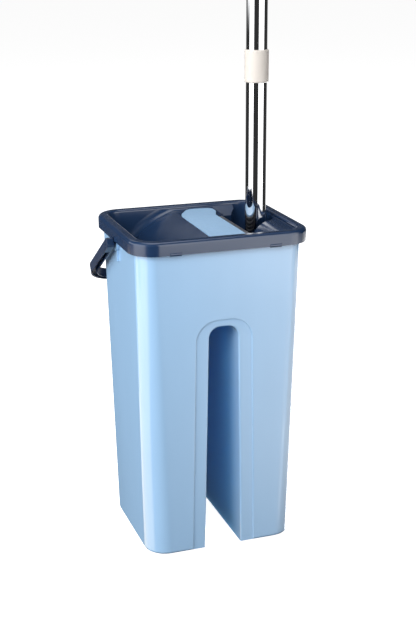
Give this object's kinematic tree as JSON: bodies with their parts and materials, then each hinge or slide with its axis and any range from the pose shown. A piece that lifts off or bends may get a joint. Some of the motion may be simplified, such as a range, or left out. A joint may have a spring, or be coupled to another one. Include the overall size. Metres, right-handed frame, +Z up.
{
  "type": "flat mop and bucket with wringer",
  "caption": "Tall twin-leg squeeze bucket with a dark wringer cover and scraper, a bail handle, and a chrome-pole flat mop standing in its wringing slot.",
  "frame": {"origin": "middle of the bucket's footprint, on the floor", "axes": "+X to the right along the long front, towards the wringing side; +Y to the back; +Z up along the pole"},
  "size_m": [0.221, 0.2047, 1.3305],
  "materials": {
    "bucket_plastic": "gloss moulded",
    "cover_plastic": "gloss moulded",
    "plate_plastic": "fine pebble texture",
    "strip_rubber": "matt",
    "screw_steel": "zinc plated",
    "foot_rubber": "matt",
    "plug_rubber": "matt",
    "handle_plastic": "satin moulded",
    "board_plastic": "satin moulded",
    "pad_fabric": "looped microfibre",
    "pocket_fabric": "woven",
    "swivel_plastic": "satin moulded",
    "pin_steel": "bright drawn",
    "pole_chrome": "polished",
    "connector_plastic": "moulded",
    "collar_plastic": "satin moulded",
    "grip_rubber": "soft touch",
    "cap_plastic": "moulded"
  },
  "bodies": {
    "bucket": {"bucket_body": "bucket_plastic", "top_cover": "cover_plastic", "scraper_plate": "plate_plastic", "scraper_strip": "strip_rubber", "strip_clamp": "cover_plastic", "plate_screws": "screw_steel", "bucket_feet": "foot_rubber"},
    "handle": {"carry_handle": "handle_plastic"},
    "plug": {"drain_plug": "plug_rubber"},
    "pole": {"pole_socket": "swivel_plastic", "sway_pin": "pin_steel", "socket_rivet": "pin_steel", "lower_tube": "pole_chrome", "lower_connector": "connector_plastic", "lower_collar": "collar_plastic", "middle_tube": "pole_chrome", "upper_connector": "connector_plastic", "upper_collar": "collar_plastic", "upper_tube": "pole_chrome", "hand_grip": "grip_rubber", "hang_cap": "cap_plastic"},
    "yoke": {"swivel_yoke": "swivel_plastic"},
    "mop_head": {"swivel_base": "swivel_plastic", "flip_pin": "pin_steel", "base_screws": "screw_steel", "mop_board": "board_plastic", "mop_pad": "pad_fabric", "pad_pocket_upper": "pocket_fabric", "pad_pocket_lower": "pocket_fabric"}
  },
  "joints": [
    {"name": "handle_swing", "type": "hinge", "parent": "bucket", "child": "handle", "pos_m": [0, 0.002, 0.355], "axis": [1, 0, 0], "range_deg": [0, 110]},
    {"name": "plug_pull", "type": "slide", "parent": "bucket", "child": "plug", "axis": [0, 1, 0], "range_m": [0, 0.02]},
    {"name": "mop_lift", "type": "slide", "parent": "bucket", "child": "pole", "axis": [0, 0, 1], "range_m": [0, 0.5]},
    {"name": "head_sway", "type": "hinge", "parent": "pole", "child": "yoke", "pos_m": [0.067, 0, 0.198], "axis": [1, 0, 0], "range_deg": [-2, 2]},
    {"name": "head_flip", "type": "hinge", "parent": "yoke", "child": "mop_head", "pos_m": [0.067, 0, 0.175], "axis": [0, -1, 0], "range_deg": [0, 4]}
  ]
}
